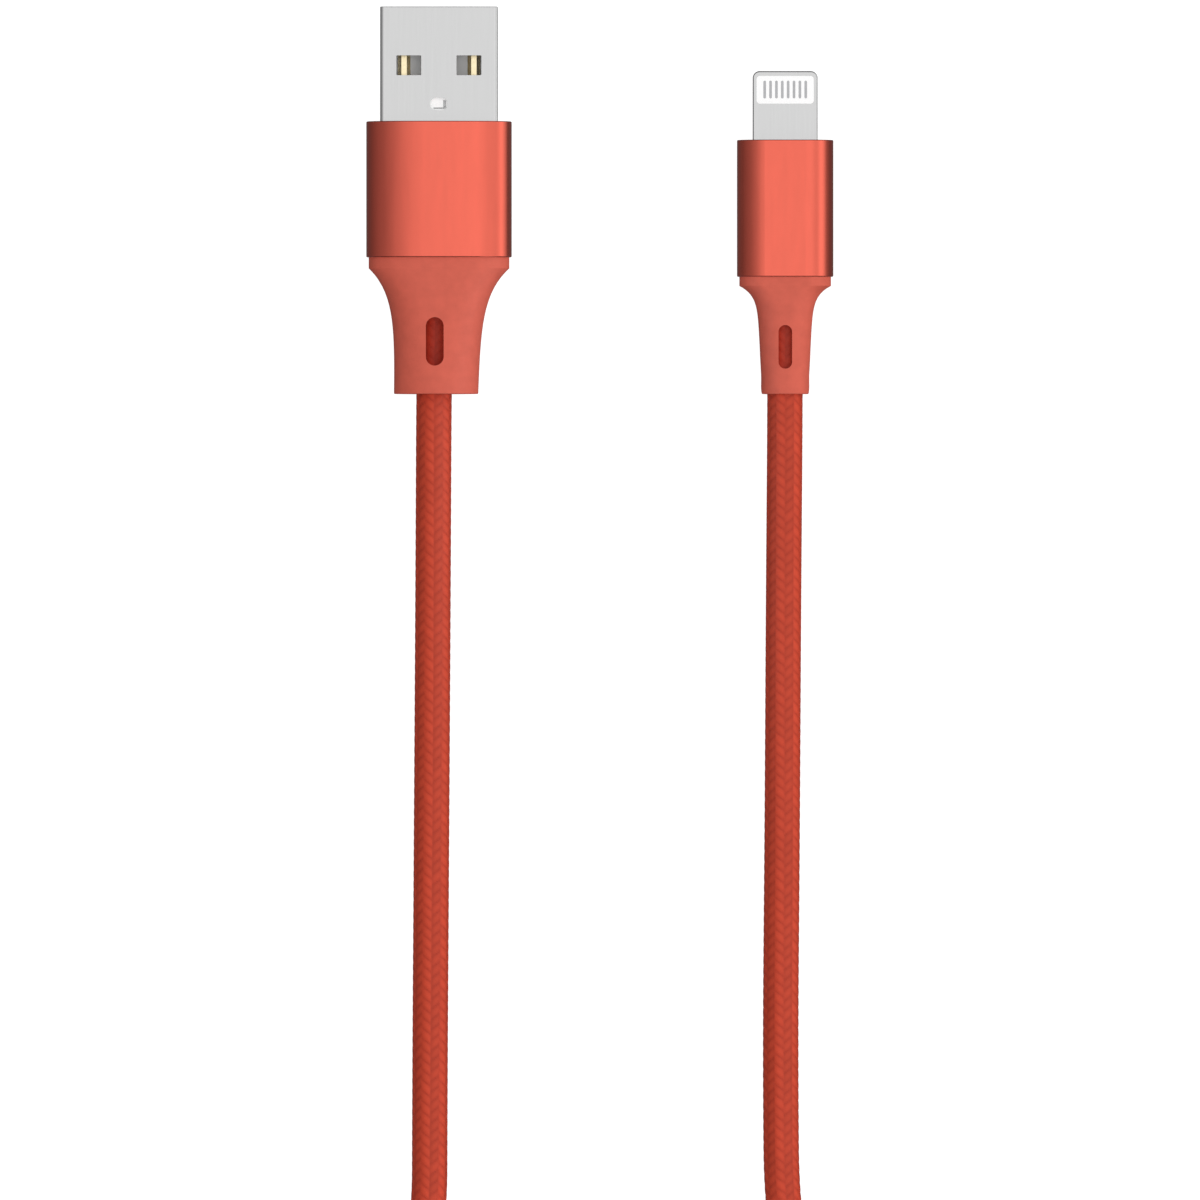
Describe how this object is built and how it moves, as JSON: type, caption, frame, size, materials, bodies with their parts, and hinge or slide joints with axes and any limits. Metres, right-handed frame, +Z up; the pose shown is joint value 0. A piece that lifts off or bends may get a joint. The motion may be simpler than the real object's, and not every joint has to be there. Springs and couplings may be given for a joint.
{
  "type": "charging cable",
  "caption": "Braided charging cable with a flat USB type A plug at one end and a small rounded tab plug at the other, both with red metal collars and tapered strain reliefs.",
  "frame": {"origin": "on the surface the plugs lie on, under the middle of the box round the two plugs", "axes": "+X from the USB plug across to the tab plug; +Y the way both plugs point; +Z up from the surface"},
  "size_m": [0.0559, 0.1957, 0.0086],
  "materials": {
    "nickel_plate": "bright nickel plate on steel sheet",
    "tinned_sheet": "dull tin plate",
    "contact_gold": "gold plate",
    "contact_grey": "hard grey plate",
    "white_plastic": "smooth white moulding",
    "mould_plastic": "milky inner moulding",
    "red_anodised": "fine bead-blasted, red anodised",
    "red_elastomer": "matte soft moulding",
    "red_braid": "herringbone nylon braid",
    "crimp_brass": "plain brass",
    "wire_red": "extruded insulation",
    "wire_white": "extruded insulation",
    "wire_green": "extruded insulation",
    "wire_black": "extruded insulation",
    "board_green": "solder resist",
    "chip_black": "moulded epoxy",
    "capacitor_ceramic": "ceramic",
    "tie_fabric": "hook-and-loop strap"
  },
  "bodies": {
    "root": {"cable_coil": "red_braid", "cable_tab_run": "red_braid", "cable_tie": "tie_fabric", "cable_usb_run": "red_braid", "tab_board_capacitors": "capacitor_ceramic", "tab_circuit_board": "board_green", "tab_collar": "red_anodised", "tab_contact_back_1": "contact_grey", "tab_contact_back_2": "contact_grey", "tab_contact_back_3": "contact_grey", "tab_contact_back_4": "contact_grey", "tab_contact_back_5": "contact_grey", "tab_contact_back_6": "contact_grey", "tab_contact_back_7": "contact_grey", "tab_contact_back_8": "contact_grey", "tab_contact_front_1": "contact_grey", "tab_contact_front_2": "contact_grey", "tab_contact_front_3": "contact_grey", "tab_contact_front_4": "contact_grey", "tab_contact_front_5": "contact_grey", "tab_contact_front_6": "contact_grey", "tab_contact_front_7": "contact_grey", "tab_contact_front_8": "contact_grey", "tab_controller_chip": "chip_black", "tab_crimp_ring": "crimp_brass", "tab_frame": "nickel_plate", "tab_inner_mould": "mould_plastic", "tab_insulator": "white_plastic", "tab_shield_can": "tinned_sheet", "tab_strain_relief": "red_elastomer", "tab_wire_data_minus": "wire_white", "tab_wire_data_plus": "wire_green", "tab_wire_ground": "wire_black", "tab_wire_power": "wire_red", "usb_collar": "red_anodised", "usb_contact_data_minus": "contact_gold", "usb_contact_data_plus": "contact_gold", "usb_contact_ground": "contact_gold", "usb_contact_power": "contact_gold", "usb_crimp_ring": "crimp_brass", "usb_inner_mould": "mould_plastic", "usb_insulator": "white_plastic", "usb_shell": "nickel_plate", "usb_shield_cover_lower": "tinned_sheet", "usb_shield_cover_upper": "tinned_sheet", "usb_strain_relief": "red_elastomer", "usb_wire_data_minus": "wire_white", "usb_wire_data_plus": "wire_green", "usb_wire_ground": "wire_black", "usb_wire_power": "wire_red"}
  },
  "joints": []
}
